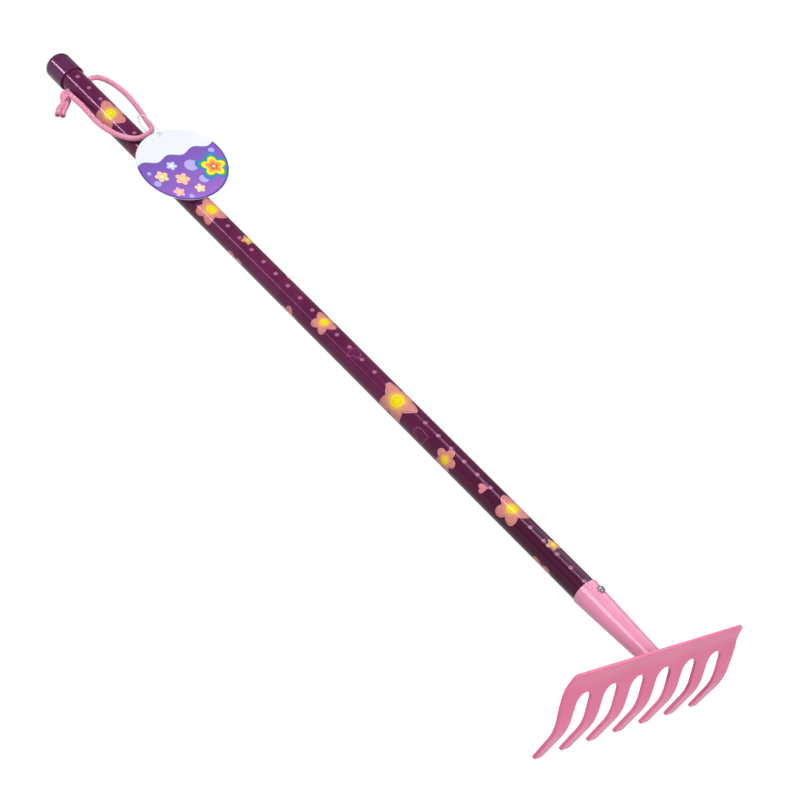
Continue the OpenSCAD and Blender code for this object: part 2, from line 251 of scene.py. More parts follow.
# the cord's routes are the construction's own points, in millimetres
cord = {
    "diameter": 5.0,
    "route": [(376, 12, 8.5), (377, 9.5, 9.5), (377.5, 0, 15), (378, -9.5, 20.5),
              (379, -16, 22.5), (377.5, -24, 22.5), (370, -33.5, 21.5), (354, -38, 21.5),
              (332, -34, 24), (308, -25, 28.5), (287.5, -11, 36.5), (278.5, 1, 39.5),
              (279.5, 10.5, 33.5), (291, 15.5, 26.5), (307.5, 17.5, 20.5), (324, 17.5, 17),
              (339, 17, 16), (351, 17, 15.5), (363, 17, 14), (371, 14.5, 11.5)],
    "longTail": [(370.6, 17.8, 6.2), (364.9, 23.0, 4.7), (359.5, 30.5, 3.5), (352, 37, 3)],
    "shortTail": [(368, 14.2, 6.3), (362.6, 19.7, 4.8), (357.2, 25.9, 3.7), (350.4, 32, 3)],
    "knotAt": (372.0, 14.7, 7.0),
    "knotTurn": 150,
    "knotLean": 100,
    "knotSize": 1.18,       # half the height of each of the knot's three lobes
    "knotDepth": 2.5,
    "knotThickness": 4.9,
    "knotSteps": 160,
    "carriers": 8,          # strands of the braid that run each way round
    "lay": 19.0,            # length in which a strand goes once round
    "relief": 0.3,          # how far a strand stands out of the grooves
    "crown": 0.7,           # below 1 a strand's top is flat
    "dip": 0.3,             # how much lower a strand is where it goes under the next one
    "sides": 40,
    "step": 0.45,
    "grooveShadeTint": 0.62,     # painted shade: how much a strand's height lightens it, so the grooves between strands are painted darker
    "fuzzTint": 0.5,
    "tintsAt": (0.12, 0.42, 0.85),
}


# polyester braid: the strands shine a little, the grooves between them get painted shade, and loose
# fibres soften the edge. Where it is cut, it is the same braid melted darker
def braidedCord(name, colours, seed):
    material, tree = newMaterial(name)
    place = addNode(tree, "UVMap")
    split = addNode(tree, "SeparateXYZ", [place]).outputs
    along = addNode(tree, "Math DIVIDE", [split[0], cord["lay"]])
    waves = []
    for way in ("ADD", "SUBTRACT"):
        turn = addNode(tree, "Math " + way, [split[1], along])
        angle = addNode(tree, "Math MULTIPLY", [turn, math.pi * cord["carriers"]])
        waves.append(addNode(tree, "Math SINE", [angle]))
    grooves = addNode(tree, "Math MULTIPLY", [waves[0], waves[1]])
    strand = addNode(tree, "Math ABSOLUTE", [grooves])
    # the filaments are 0.02 mm thick, drawn at 0.25 mm so that they show
    fine = addNode(tree, "Mapping", {"Scale": (1.0, 30.0, 1.0), "Location": (seed, 0, 0),
                                     "Vector": place})
    fuzz = addNode(tree, "TexNoise", {"Scale": 2.2, "Detail": 3.0, "Roughness": 0.6,
                                      "Vector": fine})
    mottle = addNode(tree, "Math MULTIPLY", [fuzz, cord["fuzzTint"]])
    # painted shade: the grooves are painted darker and the strand tops lighter, over the fibres'
    # random mottle
    grooveShadeAndMottle = addNode(tree, "Math MULTIPLY_ADD", [strand, cord["grooveShadeTint"], mottle])
    colour = addNode(tree, "ValToRGB", [grooveShadeAndMottle], zip(cord["tintsAt"], colours))
    bump = addNode(tree, "Bump", {"Strength": 0.5, "Distance": 0.0002, "Height": fuzz})
    shader = addNode(tree, "BsdfPrincipled",
                     {"Base Color": colour, "Roughness": 0.75, "Specular IOR Level": 0.3,
                      "Sheen Weight": 0.35, "Sheen Roughness": 0.4, "Sheen Tint": "#ffd9e6",
                      "Normal": bump})
    addNode(tree, "OutputMaterial", [shader])
    return material


# the darkest of each three pinks is the painted shade in the braid's grooves
pinkCord = braidedCord("braidedPolyesterCord", ("#b04f78", "#e18aac", "#f4b0c6"), 0.0)
sealedEnd = braidedCord("meltedCordEnd", ("#7d2f49", "#b04e6d", "#c86b88"), 4.0)


# radius of the braid at a place: each strand goes over the next one and then under it
def braidRadius(radius, along, share):
    turn = along / mm / cord["lay"]
    a = math.pi * cord["carriers"] * (share + turn)
    b = math.pi * cord["carriers"] * (share - turn)
    top, under = (a, b) if math.sin(a) * math.sin(b) > 0 else (b, a)
    height = (abs(math.sin(top)) ** cord["crown"]
              * (1 - cord["dip"] + cord["dip"] * abs(math.sin(under))))
    return (radius - cord["relief"] * (1 - height)) * mm


# a cut end is melted into a dark uneven lump, with stray fibres standing out of it
cutEnd = {
    "length": 1.6,
    "darkLength": 1.84,
    "tip": 0.55,            # share of the cord's radius that the very tip has
    "dome": 0.48,           # share that is added behind the tip
    "squareness": 4,
    "lump": 0.22,           # height of the lumps
    "lumpScale": (1.7, 1.7, 1.53),
    "fibres": 60,
    "fibreFrom": (0.3, 0.85),   # how far out a fibre starts, squared
    "fibreBack": 0.55,          # share of the lump's length that the outer ones start behind it
    "fibreOut": 0.42,           # share of the diameter that the outermost one starts at
    "fibreAhead": (0.3, 1.0),
    "fibreAside": (0.1, 0.9),
    "fibreLength": (0.5, 1.5),
    "fibreRadius": 0.09,
    "seed": 7,
}


def addFibres(bm, points, diameter):
    random.seed(cutEnd["seed"])
    run = (points[-1] - points[-3]).normalized()
    across = run.orthogonal().normalized()
    for _ in range(cutEnd["fibres"]):
        turn, far = random.uniform(0, math.tau), random.uniform(*cutEnd["fibreFrom"]) ** 0.5
        out = Matrix.Rotation(turn, 3, run) @ across
        start = (points[-1] - run * cutEnd["length"] * mm * cutEnd["fibreBack"] * far ** 3
                 + out * far * diameter * cutEnd["fibreOut"] * mm)
        length = random.uniform(*cutEnd["fibreLength"]) * mm
        way = (run * random.uniform(*cutEnd["fibreAhead"])
               + out * random.uniform(*cutEnd["fibreAside"])).normalized()
        turned = way.to_track_quat("Z", "Y").to_matrix().to_4x4()
        made = bmesh.ops.create_cone(bm, segments=4, radius1=cutEnd["fibreRadius"] * mm,
                                     radius2=cutEnd["fibreRadius"] * mm / 3, depth=length,
                                     cap_ends=True,
                                     matrix=Matrix.Translation(start + way * length / 2) @ turned)
        for face in {f for v in made["verts"] for f in v.link_faces}:
            face.material_index = 1


def braidPiece(name, line, diameter, closed=False, cut=False):
    points, length = spaced(line, cord["step"] * mm)
    seal = cutEnd["length"] * mm

    def radiusAt(along, share):
        left = length - along
        if not cut or left > seal:
            return braidRadius(diameter / 2, along, share)
        dome = math.sqrt(max(0.0, 1 - ((seal - left) / seal) ** cutEnd["squareness"]))
        place = Vector((math.cos(math.tau * share), math.sin(math.tau * share), along / mm))
        return (diameter / 2 * (cutEnd["tip"] + cutEnd["dome"] * dome)
                + cutEnd["lump"] * noise.noise(place * Vector(cutEnd["lumpScale"]))) * mm

    bm = bmesh.new()
    layTube(bm, points, length, cord["sides"], radiusAt, closed)
    if not closed:
        bmesh.ops.holes_fill(bm, edges=[e for e in bm.edges if e.is_boundary], sides=0)
    if cut:
        for face in bm.faces:
            if (face.calc_center_median() - points[-1]).length < cutEnd["darkLength"] * mm:
                face.material_index = 1
        addFibres(bm, points, diameter)
    piece = addPiece(name, bm, "cord_loop", [pinkCord, sealedEnd] if cut else [pinkCord])
    return piece, points, length


hangCord, cordLine, cordLength = braidPiece("hangingCord", onCurve(cord["route"]),
                                            cord["diameter"])
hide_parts("hang_cord")

# the knot is the cord pulled into three lobes, each over one and under the next
knotFrame = (Matrix.Translation(Vector(cord["knotAt"]) * mm)
             @ Matrix.Rotation(math.radians(cord["knotTurn"]), 4, "Z")
             @ Matrix.Rotation(math.radians(cord["knotLean"]), 4, "Y"))
knotLine = []
for step in range(cord["knotSteps"] + 1):
    t = math.tau * step / cord["knotSteps"]
    lobe = Vector((cord["knotSize"] * (math.sin(t) + 2 * math.sin(2 * t)),
                   cord["knotSize"] * (math.cos(t) - 2 * math.cos(2 * t)),
                   -cord["knotDepth"] * math.sin(3 * t)))
    knotLine.append(knotFrame @ (lobe * mm))
knot = braidPiece("cordKnot", knotLine, cord["knotThickness"], closed=True)[0]
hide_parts("cord_knot")
longTail = braidPiece("longCordTail", onCurve(cord["longTail"]), cord["diameter"], cut=True)[0]
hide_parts("long_tail")
shortTail = braidPiece("shortCordTail", onCurve(cord["shortTail"]), cord["diameter"], cut=True)[0]
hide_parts("short_tail")
print("cord:", round(cordLength / mm), "mm between its two ends in the knot")

# clear moulded nylon: water clear, with a faint grey edge and soft moulding marks
clearPlastic = noisyMaterial("clearNylonLoop", {"Scale": 900.0, "Detail": 2.0},
                             {"Base Color": "#f3f4f6", "Roughness": 0.3, "IOR": 1.45,
                              "Transmission Weight": 0.3}, relief=(0.15, 0.0001))
clearLoop = {
    "diameter": 1.2,
    # in the tag's frame, from the tag's hole
    "route": [(0, 0), (0.9, 2.3), (3.1, 3.2), (8.9, 2.8), (15.9, 2), (22.4, 0.8), (27.9, -2.2),
              (32.4, -6.8), (33.9, -11), (30.4, -14), (22.9, -14.2), (13.9, -13.5),
              (7.4, -10.2), (3.2, -6), (0.9, -2.8)],
    "sides": 16,
    "step": 0.5,
    "lockAt": 0.68,         # share of the loop at which its two ends are locked
    "lockRadius": 0.95,
    "lockLength": 3.6,
    "lockSlope": 0.4,       # length over which the lock swells
}
loopLine = onCurve([(tag["holeAt"] + x, 0, z) for x, z in clearLoop["route"]], closed=True)
loopPoints, loopLength = spaced([tagFrame @ p for p in loopLine], clearLoop["step"] * mm)


# the loop swells into a small barrel where its end is pushed in and locks
def loopRadius(along, share):
    away = abs(along / loopLength - clearLoop["lockAt"]) * loopLength / mm
    thin, thick = clearLoop["diameter"] / 2, clearLoop["lockRadius"]
    swell = max(0.0, min(1.0, (clearLoop["lockLength"] / 2 - away) / clearLoop["lockSlope"]))
    return (thin + (thick - thin) * swell * swell * (3 - 2 * swell)) * mm


bm = bmesh.new()
layTube(bm, loopPoints, loopLength, clearLoop["sides"], loopRadius, closed=True)
tagLoop = addPiece("clearTagLoop", bm, "clear_loop", [clearPlastic])
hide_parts("tag_loop")
print("clear loop:", round(loopLength / mm, 1), "mm round")


# a motif is a node group that prints itself over the colour under it. This makes its sockets,
# and gives the place and its angle in the motif's own frame, where the motif's size is 1
def startMotif(name, numbers, colours):
    motif = bpy.data.node_groups.new(name, "ShaderNodeTree")
    for label, kind in ([("Under", "Color"), ("Place", "Vector"), ("Middle", "Vector"),
                         ("Turn", "Float"), ("Size", "Float")]
                        + [(label, "Float") for label in numbers]
                        + [(label, "Color") for label in colours]):
        motif.interface.new_socket(label, in_out="INPUT", socket_type="NodeSocket" + kind)
    motif.interface.new_socket("Colour", in_out="OUTPUT", socket_type="NodeSocketColor")
    given = addNode(motif, "NodeGroupInput").outputs
    away = addNode(motif, "VectorMath SUBTRACT", [given["Place"], given["Middle"]])
    turned = addNode(motif, "VectorRotate", {"rotation_type": "Z_AXIS", "Vector": away,
                                             "Angle": given["Turn"]})
    sized = addNode(motif, "VectorMath DIVIDE", [turned, given["Size"]])
    parts = addNode(motif, "SeparateXYZ", [sized]).outputs
    angle = addNode(motif, "Math ARCTAN2", [parts[1], parts[0]])
    return motif, given, sized, parts, angle


def printMotif(tree, motif, under, place, middle, turn, size, details):
    return addNode(tree, "Group", {"node_tree": motif, **details, "Middle": (*middle, 0),
                                   "Turn": turn, "Size": size, "Under": under, "Place": place})


# the same five-petal flower serves the handle's film and the tag. Each petal is an ellipse, and
# every length is a share of the flower's size
petal = {
    "half": math.pi / 5,    # half the angle of one petal
    "middle": 0.52,
    "halfLength": 0.48,
    "halfWidth": 0.36,
    # where a tint starts, where it is full, and how much of it is printed there if not 0 and 1
    "edge": (1.05, 0.97),
    "line": (0.8, 0.075),   # a darker line's place and half its width, as for the ring
    "lineInk": 0.6,
    "shade": (0.85, 0.35, 0, 0.32),
    "glow": (0.57, 0.3, 0, 0.8),
    "glowInk": "#dfae4c",
    "eye": (0.36, 0.22),
    "ring": (0.17, 0.025),
    "ringInk": 0.5,
    "ringColour": "#b99a10",
}
flower, given, sized, _, angle = startMotif("flowerPrint", ["Point"], ["Petal", "Edge", "Eye"])
far = addNode(flower, "VectorMath LENGTH", [sized])
fold = addNode(flower, "Math WRAP", [angle, petal["half"], -petal["half"]])
outward = addNode(flower, "Math COSINE", [fold])
sideways = addNode(flower, "Math SINE", [fold])
petalX = addNode(flower, "Math MULTIPLY", [outward, far])
petalY = addNode(flower, "Math MULTIPLY", [sideways, far])
half = addNode(flower, "Math ABSOLUTE", [petalY])
pulled = addNode(flower, "Math MULTIPLY_ADD", [half, given["Point"], petalX])
longWay = addNode(flower, "Math MULTIPLY_ADD", [pulled, 1 / petal["halfLength"],
                                                -petal["middle"] / petal["halfLength"]])
shortWay = addNode(flower, "Math DIVIDE", [half, petal["halfWidth"]])
both = addNode(flower, "CombineXYZ", [longWay, shortWay])
reach = addNode(flower, "VectorMath LENGTH", [both])
isPetal = addNode(flower, "MapRange", [reach, *petal["edge"]])
isLine = addNode(flower, "Math COMPARE", [reach, petal["line"][0], petal["line"][1]])
shade = addNode(flower, "MapRange", [reach, *petal["shade"]])
dark = addNode(flower, "Math MULTIPLY_ADD", [isLine, petal["lineInk"], shade])
glow = addNode(flower, "MapRange", [far, *petal["glow"]])
isEye = addNode(flower, "MapRange", [far, *petal["eye"]])
isRing = addNode(flower, "Math COMPARE", [far, petal["ring"][0], petal["ring"][1]])
ring = addNode(flower, "Math MULTIPLY", [isRing, petal["ringInk"]])
lined = addNode(flower, "Mix RGBA", {0: dark, 6: given["Petal"], 7: given["Edge"]})
glowing = addNode(flower, "Mix RGBA", {0: glow, 6: lined, 7: petal["glowInk"]})
eyed = addNode(flower, "Mix RGBA", {0: isEye, 6: glowing, 7: given["Eye"]})
ringed = addNode(flower, "Mix RGBA", {0: ring, 6: eyed, 7: petal["ringColour"]})
isFlower = addNode(flower, "Math MAXIMUM", [isPetal, isEye])
shown = addNode(flower, "Mix RGBA", {0: isFlower, 6: given["Under"], 7: ringed})
addNode(flower, "NodeGroupOutput", [shown])

# a heart, filled or as a line of stitches
heartPrint = {
    "height": 1.2,
    "edge": (1.05, 0.95),
    "halfLine": 0.07,
    "stitches": 26.0,
    "gap": -0.2,            # a stitch ends where its wave falls below this
}
heart, given, _, parts, angle = startMotif("heartPrint", ["Stitches"], ["Ink"])
half = addNode(heart, "Math ABSOLUTE", [parts[1]])
root = addNode(heart, "Math SQRT", [half])
lowered = addNode(heart, "Math MULTIPLY_ADD", [parts[0], heartPrint["height"], root])
both = addNode(heart, "CombineXYZ", [half, lowered])
reach = addNode(heart, "VectorMath LENGTH", [both])
filled = addNode(heart, "MapRange", [reach, *heartPrint["edge"]])
isLine = addNode(heart, "Math COMPARE", [reach, 1.0, heartPrint["halfLine"]])
beads = addNode(heart, "Math MULTIPLY", [angle, heartPrint["stitches"]])
wave = addNode(heart, "Math SINE", [beads])
isBead = addNode(heart, "Math GREATER_THAN", [wave, heartPrint["gap"]])
stitched = addNode(heart, "Math MULTIPLY", [isLine, isBead])
chosen = addNode(heart, "Mix FLOAT", {0: given["Stitches"], 2: filled, 3: stitched})
shown = addNode(heart, "Mix RGBA", {0: chosen, 6: given["Under"], 7: given["Ink"]})
addNode(heart, "NodeGroupOutput", [shown])
print("prints: flower and heart")


# the coordinates of a piece in its own frame, in millimetres
def localPlace(tree, place, turn):
    where = addNode(tree, "TexCoord").outputs["Object"]
    return addNode(tree, "Mapping", {"vector_type": "TEXTURE", "Location": place, "Rotation": turn,
                                     "Scale": (mm, mm, mm), "Vector": where})


def handlePlace(tree, lean):
    return localPlace(tree, Vector(handle["start"]) * mm,
                      (math.radians(lean), math.radians(handle["tilt"]), 0))


film = {
    "ink": "#571a3c",
    "inkLight": "#622047",
    "inkShadedTowardsSocket": "#44142d",   # painted shade: the ink is darker towards the socket, where less light reaches, between these places
    "foot": (340.0, 150.0),
    "dot": "#a5698f",
    "dotEdge": (2.3, 1.4, 0, 0.85),  # the same four numbers as for a petal
    "dotPitch": 17.04,      # the film shrank unevenly, so the pitch grows towards the grip
    "dotStart": 84.8,       # along the handle
    "dotMiddle": 434.2,
    "dotBulge": 0.5,        # how many pitches the row is ahead in its middle
    "dotTurn": 62.5,        # degrees round the handle from its left side
    "seamTurn": 70.0,       # the print is laid out from here, so its seam is underneath
    "petal": "#d58c84",
    "petalSmall": "#d8a468",
    "smallUpTo": 8,
    "petalEdge": "#a85a5e",
    "eye": "#e6d614",
    # along the handle, degrees round it, size, turn, how pointed the petals are
    "flowers": [(727.7, 44.7, 17, 20, 0.15), (578.6, 66.3, 15.5, 20, 0.15),
                (531.3, 88.0, 6.5, 0, 0.5), (529.0, -80, 14.0, 54, 0.0),
                (452.0, -61, 12, 90, 0.0), (477.5, 152, 10.5, -90, 0.0),
                (417.7, 62.8, 12, 20, 0.1), (314.7, 42.8, 20.5, 20, 0.6),
                (245.8, 4.5, 11, 22, 0.0), (651.8, 4.5, 11, 22, 0.0),
                (172.8, 65.9, 15, 12, 0.0), (126.6, 84, 6.5, 0, 0.5),
                (122.3, -80, 14.5, 54, 0.0), (200.0, 215, 15, 50, 0.5),
                (606.0, 215, 15, 50, 0.5), (92.0, 190, 11, 0, 0.0),
                (280.0, 210, 9, 30, 0.0), (686.0, 200, 12, 30, 0.0),
                (350.0, 205, 14, 10, 0.2), (756.0, 200, 13, 10, 0.2),
                (406.0, 215, 9, 0, 0.0), (262.0, 165, 6.5, 0, 0.5),
                (668.0, 165, 6.5, 0, 0.5)],
    "heart": "#cf7f84",
    "stitches": "#9a5a7c",
    # the same for hearts, and whether they are stitched
    "hearts": [(202.0, 43.0, 4.2, 135, 0), (608.0, 43.0, 4.2, 135, 0),
               (274.5, 10, 7.2, 146, 1), (681.5, 10, 7.2, 146, 1),
               (377.0, 74, 5.5, 60, 1), (310.0, 155, 5.0, 30, 0),
               (716.0, 155, 5.0, 30, 0), (430.0, 190, 8.0, 20, 1),
               (150.0, 205, 5.0, 200, 0), (556.0, 205, 5.0, 200, 0)],
}


def aroundFor(turn):
    return math.radians(turn - film["seamTurn"]) * handle["radius"]


# shrunk polyester film: deep plum ink under a clear glossy skin that follows the stick's slight
# unevenness, so the reflected light wavers a little
printedFilm, tree = newMaterial("shrunkPrintedFilm")
place = handlePlace(tree, film["seamTurn"])
parts = addNode(tree, "SeparateXYZ", [place]).outputs
angle = addNode(tree, "Math ARCTAN2", [parts[2], parts[1]])
around = addNode(tree, "Math MULTIPLY", [angle, handle["radius"]])
flat = addNode(tree, "CombineXYZ", [parts[0], around])
mottle = addNode(tree, "TexNoise", {"Scale": 0.05, "Detail": 2.0, "Vector": place})
colour = addNode(tree, "ValToRGB", [mottle], [(0.35, film["ink"]), (0.65, film["inkLight"])])
# painted shade: the film's ink darkens towards the socket, where less light falls
shadeNearSocket = addNode(tree, "MapRange", [parts[0], *film["foot"]])
colour = addNode(tree, "Mix RGBA", {0: shadeNearSocket, 6: colour, 7: film["inkShadedTowardsSocket"]})

# the dots run in two rows, on opposite sides of the handle
halfRound = math.pi * handle["radius"] / 2
dotAway = addNode(tree, "Math SUBTRACT", [parts[0], film["dotMiddle"]])
dotSquare = addNode(tree, "Math POWER", [dotAway, 2.0])
dotBend = addNode(tree, "Math MULTIPLY_ADD",
                  [dotSquare, -film["dotBulge"] / (film["dotMiddle"] - film["dotStart"]) ** 2,
                   film["dotBulge"] - film["dotStart"] / film["dotPitch"]])
dotCount = addNode(tree, "Math MULTIPLY_ADD", [parts[0], 1 / film["dotPitch"], dotBend])
dotNear = addNode(tree, "Math WRAP", [dotCount, 0.5, -0.5])
dotX = addNode(tree, "Math MULTIPLY", [dotNear, film["dotPitch"]])
dotAround = addNode(tree, "Math SUBTRACT", [around, aroundFor(film["dotTurn"])])
dotY = addNode(tree, "Math WRAP", [dotAround, halfRound, -halfRound])
dotPlace = addNode(tree, "CombineXYZ", [dotX, dotY])
dotFar = addNode(tree, "VectorMath LENGTH", [dotPlace])
isDot = addNode(tree, "MapRange", [dotFar, *film["dotEdge"]])
colour = addNode(tree, "Mix RGBA", {0: isDot, 6: colour, 7: film["dot"]})
for along, turn, size, spin, stitched in film["hearts"]:
    colour = printMotif(tree, heart, colour, flat, (along, aroundFor(turn)), -math.radians(spin),
                        size, {"Stitches": float(stitched),
                               "Ink": film["stitches" if stitched else "heart"]})
for along, turn, size, spin, point in film["flowers"]:
    ink = film["petal" if size > film["smallUpTo"] else "petalSmall"]
    colour = printMotif(tree, flower, colour, flat, (along, aroundFor(turn)), -math.radians(spin),
                        size, {"Point": point, "Petal": ink, "Edge": film["petalEdge"],
                               "Eye": film["eye"]})
waver = addNode(tree, "Mapping", {"Scale": (0.045, 0.04, 0.04), "Vector": place})
shader = noisyShader(tree, {"Vector": waver, "Scale": 1.0, "Detail": 1.0},
                     {"Base Color": colour, "Roughness": 0.15, "IOR": 1.45,
                      "Specular IOR Level": 0.24, "Specular Tint": "#f3ccf6"},
                     relief=(0.15, 0.0006))
addNode(tree, "OutputMaterial", [shader])

# baked powder coat: a smooth candy pink with the faint orange peel that spraying leaves. It is
# duller on the pressed plate than on the rolled socket, and the socket's copy is painted paler
# pink, a painted sheen for the light on its upper side
paint = {
    "peel": 1.6,            # size of the orange peel's bumps
    "patch": 40.0,
    # light and dark pink, roughness, specular level
    "plate": ("#ed7ba2", "#e8749b", 0.26, 0.22),
    # painted sheen: the socket's paler pink stands in for the light on its upper side
    "socket": ("#e38fb1", "#df89ab", 0.25, 0.5),
}


def powderCoat(name, light, dark, roughness, specular):
    material, tree = newMaterial(name)
    peel = addNode(tree, "TexNoise", {"Scale": 1 / (paint["peel"] * mm), "Detail": 1.0,
                                      "Vector": addNode(tree, "TexCoord").outputs["Object"]})
    bump = addNode(tree, "Bump", {"Strength": 0.04, "Distance": 0.0001, "Height": peel})
    shader = noisyShader(tree, {"Scale": 1 / (paint["patch"] * mm), "Detail": 2.0},
                         {"Roughness": roughness, "IOR": 1.5, "Specular IOR Level": specular,
                          "Normal": bump}, stops=[(0.35, dark), (0.65, light)])
    addNode(tree, "OutputMaterial", [shader])
    return material


platePaint = powderCoat("bakedPowderCoatPlate", *paint["plate"])
# the socket's copy carries the painted sheen
sheenPaintedSocketCoat = powderCoat("bakedPowderCoatSocketPaintedSheen", *paint["socket"])

# moulded polyethylene: plum coloured through, with the soft gloss of a polished mould
capPlastic = noisyMaterial("mouldedPolyethylene", {"Scale": 60.0, "Detail": 3.0},
                           {"IOR": 1.5, "Specular IOR Level": 0.36, "Specular Tint": "#f8e2fa"},
                           stops=[(0.3, "#542046"), (0.7, "#5b254e")], dull=(0.14, 0.2))

# zinc-plated steel: bluish grey, with the cloudy crystals of the plating
zincSteel = noisyMaterial("zincPlatedSteel", {"Scale": 1500.0, "Detail": 4.0}, {"Metallic": 1.0},
                          stops=[(0.3, "#77777a"), (0.7, "#b5b4b2")], dull=(0.22, 0.42))

# planed beech: pale, with fine darker rays along the stick
beech, tree = newMaterial("planedBeech")
stretched = addNode(tree, "Mapping", {"Scale": (0.08, 1.2, 1.2), "Vector": handlePlace(tree, 0)})
shader = noisyShader(tree, {"Vector": stretched, "Scale": 1.0, "Detail": 5.0, "Distortion": 0.3},
                     {"Roughness": 0.65}, stops=[(0.35, "#a9855a"), (0.65, "#cdae82")],
                     relief=(0.3, 0.0003))
addNode(tree, "OutputMaterial", [shader])
nodes["handle_core"].data.materials.clear()
nodes["handle_core"].data.materials.append(beech)
print("materials: film, paint, plastic, zinc, beech")


# a profile is spun once round an axis and then put in its place
def spun(profile, steps, place=handleFrame, axis=(1, 0, 0), closed=True):
    bm = bmesh.new()
    made = [bm.verts.new(Vector(point) * mm) for point in profile]
    edges = [bm.edges.new(pair) for pair in zip(made, made[1:] + made[:1] * closed)]
    bmesh.ops.spin(bm, geom=made + edges, cent=(0, 0, 0), axis=axis, angle=math.tau,
                   steps=steps, use_merge=True)
    bmesh.ops.remove_doubles(bm, verts=bm.verts, dist=samePoint)
    bmesh.ops.transform(bm, matrix=place, verts=bm.verts)
    return bm


def arcPoints(middle, radius, start, end, steps):
    turns = [math.radians(start + (end - start) * i / steps) for i in range(steps + 1)]
    return [(middle[0] + radius * math.cos(a), middle[1] + radius * math.sin(a)) for a in turns]


def creased(piece, degrees=35):
    piece.data.set_sharp_from_angle(angle=math.radians(degrees))


def roundEdges(piece, width, segments, degrees=30):
    change = piece.modifiers.new("roundedEdges", "BEVEL")
    change.width = width * mm
    change.segments = segments
    change.limit_method = "ANGLE"
    change.angle_limit = math.radians(degrees)
    change.harden_normals = True


# cuts one piece with another and keeps the result as a plain mesh
def cutWith(piece, cutter):
    change = piece.modifiers.new("cut", "BOOLEAN")
    change.operation = "DIFFERENCE"
    change.object = cutter
    view = bpy.context.evaluated_depsgraph_get()
    cut = bpy.data.meshes.new_from_object(piece.evaluated_get(view))
    piece.modifiers.clear()
    piece.data = cut
    bpy.data.objects.remove(cutter)


# the tine plate keeps the pressed shape of the construction, and the paint rounds its edges
plate = {
    "samePoint": 0.01,
    "flatWithin": 0.3,      # degrees
    "edgeRounding": 0.55,
    "segments": 3,
}
bm = bmesh.new()
bm.from_mesh(nodes["tine_plate"].data)
bmesh.ops.remove_doubles(bm, verts=bm.verts, dist=plate["samePoint"] * mm)
bmesh.ops.dissolve_limit(bm, angle_limit=math.radians(plate["flatWithin"]), verts=bm.verts,
                         edges=bm.edges)
tinePlate = addPiece("tinePlate", bm, "rake", [platePaint])
creased(tinePlate)
roundEdges(tinePlate, plate["edgeRounding"], plate["segments"])
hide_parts("tine_plate")

socket = {
    # places along it that get a ring: from inside the plate to close behind the rim
    "rings": (-0.6, 20, 40, 60, 80, 81.6),
    "mouth": 82.5,
    "rootRadius": 8.35,
    "mouthRadius": 12.0,
    "wall": 0.9,
    "rimRounding": 0.4,
    "rimSteps": 5,
    "steps": 128,
}
slope = (socket["mouthRadius"] - socket["rootRadius"]) / socket["mouth"]
outside = [(a, socket["rootRadius"] + slope * a) for a in socket["rings"]]
inside = [(a, r - socket["wall"]) for a, r in reversed(outside)]
edge = socket["rimRounding"]
rimOut = arcPoints((socket["mouth"] - edge, socket["mouthRadius"] - edge), edge, 90, 0,
                   socket["rimSteps"])
rimIn = arcPoints((socket["mouth"] - edge, socket["mouthRadius"] - socket["wall"] + edge), edge,
                  0, -90, socket["rimSteps"])
bm = spun([(a, r, 0) for a, r in outside + rimOut + rimIn + inside], socket["steps"])
socketPiece = addPiece("rolledSocket", bm, "rake", [sheenPaintedSocketCoat])
creased(socketPiece)
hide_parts("socket")

# the fillet weld under the paint: a row of overlapping ripples
weld = {
    "leg": 3.0,
    "plateBack": 1.5,
    "from": -0.8,
    "under": 0.5,           # how far it reaches into the socket's wall
    "faceSteps": 9,
    "steps": 260,
    "ripples": 26,
    "rippleHeight": 0.28,
    "rippleLag": 0.9,       # the ripples trail towards the foot
    "unevenness": 0.25,
    "lumps": 4,
    "bareBelow": 0.05,      # share of the leg above the socket that stays plain
    "bareBehind": -0.5,
    "fadeIn": 3,
    "push": 0.7,
}
foot = socket["rootRadius"] + weld["leg"]
face = arcPoints((weld["plateBack"] + weld["leg"], foot), weld["leg"], 180, 270,
                 weld["faceSteps"])
low = socket["rootRadius"] - weld["under"]
profile = [(weld["from"], foot), (0, foot), *face, (weld["plateBack"] + weld["leg"], low),
           (weld["from"], low)]
bm = spun([(a, r, 0) for a, r in profile], weld["steps"])
back = handleFrame.inverted()
for v in bm.verts:
    local = back @ v.co / mm
    out = math.hypot(local.y, local.z)
    share = (out - socket["rootRadius"]) / weld["leg"]
    if share < weld["bareBelow"] or local.x < weld["bareBehind"]:
        continue
    turn = math.atan2(local.z, local.y)
    ripple = abs(math.sin(weld["ripples"] / 2 * turn + weld["rippleLag"] * share)) - 0.5
    rough = noise.noise(Vector((math.cos(turn), math.sin(turn), share)) * weld["lumps"])
    push = (weld["push"] * min(1, share * weld["fadeIn"])
            * (weld["rippleHeight"] * ripple + weld["unevenness"] * rough))
    v.co += handleFrame.to_3x3() @ Vector((1, local.y / out, local.z / out)) * push * mm
weldBead = addPiece("filletWeld", bm, "rake", [sheenPaintedSocketCoat])
creased(weldBead, 60)
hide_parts("weld_bead")

